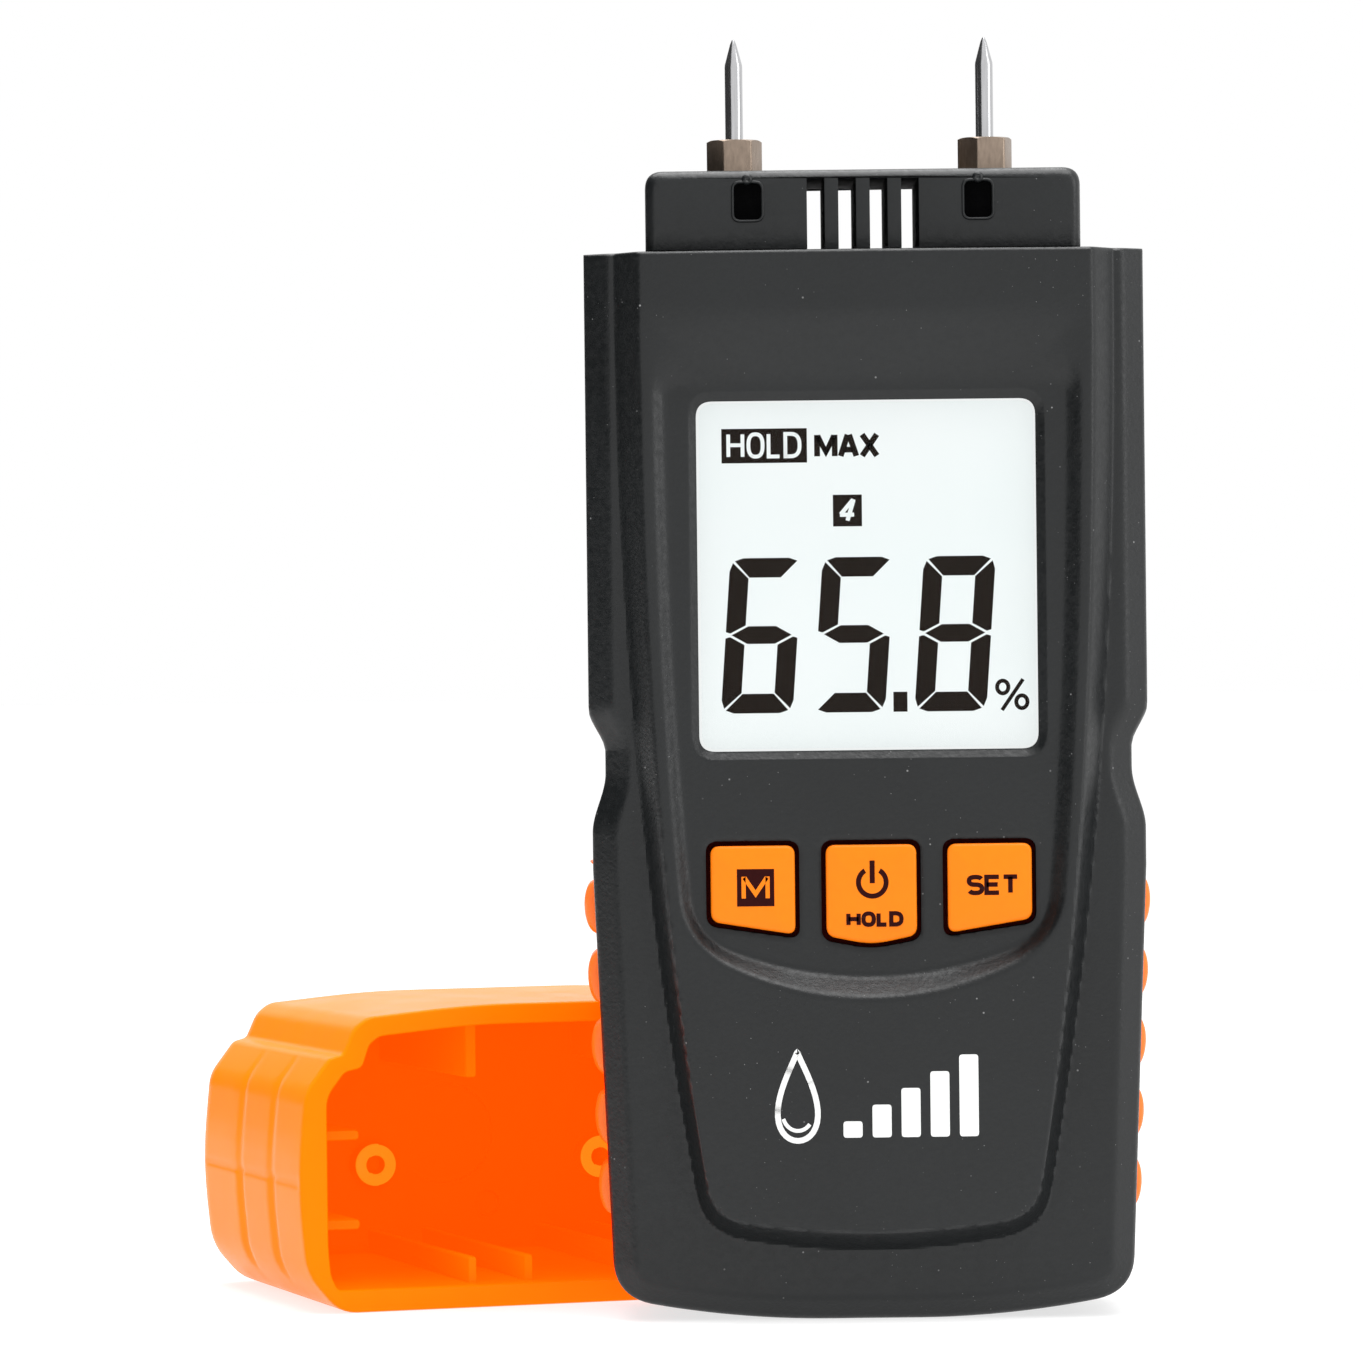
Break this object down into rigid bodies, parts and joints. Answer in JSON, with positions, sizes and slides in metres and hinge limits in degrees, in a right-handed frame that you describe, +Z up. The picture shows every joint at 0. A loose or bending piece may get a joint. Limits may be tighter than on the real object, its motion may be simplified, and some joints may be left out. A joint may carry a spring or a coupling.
{
  "type": "pin moisture meter",
  "caption": "Handheld pin-type moisture meter with a display, push buttons, ribbed side grips and electrode pins, and its pull-off cap lying beside it.",
  "frame": {"origin": "on the meter's centre line, in the plane of the pins, on the surface that its flat foot stands on", "axes": "+Z up the meter to the pin tips, -Y out of the display, +X to the display's right as it is read"},
  "size_m": [0.1096, 0.0819, 0.1428],
  "materials": {
    "black_shell": "fine spark-eroded ABS",
    "orange_button": "smooth satin",
    "orange_cap": "smooth semi-gloss ABS",
    "orange_grip": "soft over-moulding",
    "clear_window": "clear acrylic",
    "lcd": "pale segment display",
    "lcd_ink": "dark display segments",
    "white_diffuser": "milky diffuser",
    "printed_legend": "dark printed legend",
    "white_print": "white printed pictogram",
    "black_rubber": "silicone",
    "green_board": "solder mask on glass fibre",
    "black_component": "moulded epoxy",
    "polished_steel": "ground and polished stainless steel",
    "nickel": "dull nickel plate",
    "zinc_steel": "zinc plated",
    "brass_socket": "turned",
    "wire_sleeve": "PVC sleeve",
    "cell_sleeve": "plain printed sleeve"
  },
  "bodies": {
    "meter": {"front_case": "black_shell", "back_case": "black_shell", "probe_head": "black_shell", "display_window": "clear_window", "left_side_grip": "orange_grip", "right_side_grip": "orange_grip", "left_electrode_pin": "polished_steel", "right_electrode_pin": "polished_steel", "left_pin_nut": "nickel", "right_pin_nut": "nickel", "lcd_glass": "lcd", "lcd_backlight": "white_diffuser", "lcd_frame": "black_shell", "zebra_strip": "black_rubber", "circuit_board": "green_board", "main_chip": "black_component", "buzzer": "black_component", "mode_switch": "black_component", "power_switch": "black_component", "set_switch": "black_component", "keypad_membrane": "black_rubber", "left_pin_socket": "brass_socket", "right_pin_socket": "brass_socket", "left_socket_wire": "wire_sleeve", "right_socket_wire": "wire_sleeve", "battery_tray": "black_shell", "battery_1": "cell_sleeve", "battery_2": "cell_sleeve", "battery_3": "cell_sleeve", "battery_spring_1": "zinc_steel", "battery_spring_2": "zinc_steel", "battery_spring_3": "zinc_steel", "battery_contact_1": "nickel", "battery_contact_2": "nickel", "battery_contact_3": "nickel", "case_screw_1": "zinc_steel", "case_screw_2": "zinc_steel", "case_screw_3": "zinc_steel", "case_screw_4": "zinc_steel"},
    "mode_button": {"mode_button": "orange_button"},
    "power_button": {"power_button": "orange_button"},
    "set_button": {"set_button": "orange_button"},
    "battery_door": {"battery_door": "black_shell"},
    "protective_cap": {"protective_cap": "orange_cap"}
  },
  "joints": [
    {"name": "mode_press", "type": "slide", "parent": "meter", "child": "mode_button", "axis": [0, 1, 0], "range_m": [0, 0.0008], "stiffness_N_per_m": 300},
    {"name": "power_press", "type": "slide", "parent": "meter", "child": "power_button", "axis": [0, 1, 0], "range_m": [0, 0.0008], "stiffness_N_per_m": 300},
    {"name": "set_press", "type": "slide", "parent": "meter", "child": "set_button", "axis": [0, 1, 0], "range_m": [0, 0.0008], "stiffness_N_per_m": 300},
    {"name": "battery_door_slide", "type": "slide", "parent": "meter", "child": "battery_door", "axis": [0, 0, -1], "range_m": [0, 0.008]},
    {"name": "cap_lift", "type": "slide", "parent": "meter", "child": "protective_cap", "axis": [0, 0, 1], "range_m": [0, 0.12]}
  ]
}
